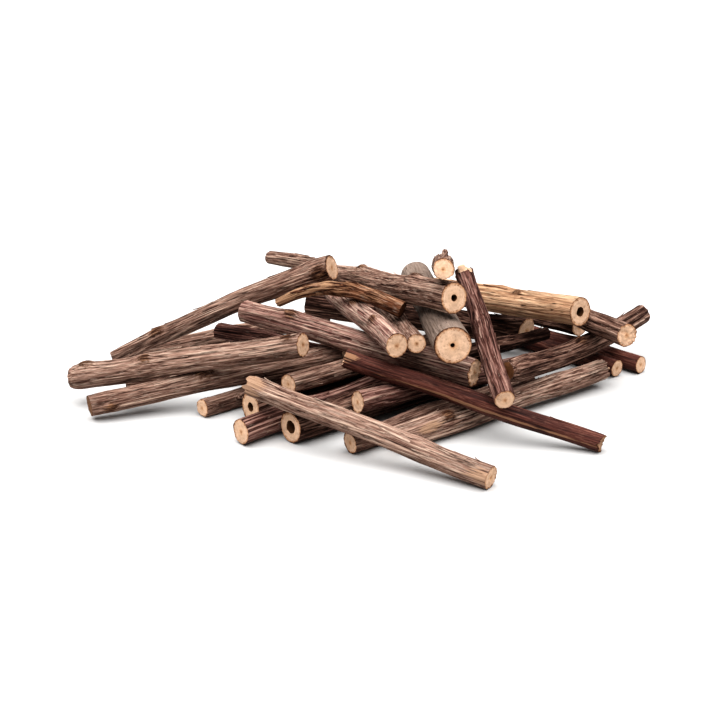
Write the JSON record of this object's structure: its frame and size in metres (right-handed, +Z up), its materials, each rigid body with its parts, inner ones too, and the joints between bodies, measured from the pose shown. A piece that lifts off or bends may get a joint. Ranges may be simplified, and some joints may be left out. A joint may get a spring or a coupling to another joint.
{
  "type": "bundle of twigs",
  "caption": "Loose heap of short sawn vine twigs with stringy brown bark, pale cut ends and open piths, lying as they were tipped out.",
  "frame": {"origin": "on the table, under the middle of the heap's bounds", "axes": "+X to the right along the heap's length, +Y away from the viewer, +Z up"},
  "size_m": [0.2644, 0.2088, 0.0739],
  "materials": {
    "stringy_brown_bark": "dry, stringy and matte",
    "ribbed_purple_bark": "dry, ribbed and matte",
    "smooth_red_bark": "smooth, faintly glossy",
    "smooth_grey_bark": "smooth and matte",
    "tan_bark": "half peeled, matte"
  },
  "bodies": {
    "root": {"left_purple_twig": "ribbed_purple_bark", "hollow_front_twig": "stringy_brown_bark", "thin_front_twig": "stringy_brown_bark", "peeling_front_twig": "stringy_brown_bark", "hollow_left_twig": "stringy_brown_bark", "short_left_twig": "stringy_brown_bark", "back_left_twig": "stringy_brown_bark", "low_left_twig": "stringy_brown_bark", "low_right_twig": "smooth_red_bark", "far_right_twig": "smooth_red_bark", "inner_purple_twig": "ribbed_purple_bark", "inner_left_twig": "stringy_brown_bark", "shaded_right_twig": "stringy_brown_bark", "lower_middle_twig": "ribbed_purple_bark", "left_long_twig": "stringy_brown_bark", "right_inner_twig": "stringy_brown_bark", "under_right_twig": "stringy_brown_bark", "right_long_twig": "stringy_brown_bark", "middle_twig": "ribbed_purple_bark", "left_upper_twig": "stringy_brown_bark", "red_twig": "smooth_red_bark", "thin_ribbed_twig": "stringy_brown_bark", "ribbed_twig": "ribbed_purple_bark", "grey_twig": "smooth_grey_bark", "crooked_tan_twig": "tan_bark", "hollow_top_twig": "stringy_brown_bark", "thin_back_twig": "stringy_brown_bark", "left_high_twig": "stringy_brown_bark", "right_end_twig": "stringy_brown_bark", "hollow_right_twig": "tan_bark", "top_twig": "stringy_brown_bark", "leaning_twig": "ribbed_purple_bark", "front_twig": "stringy_brown_bark"}
  },
  "joints": []
}
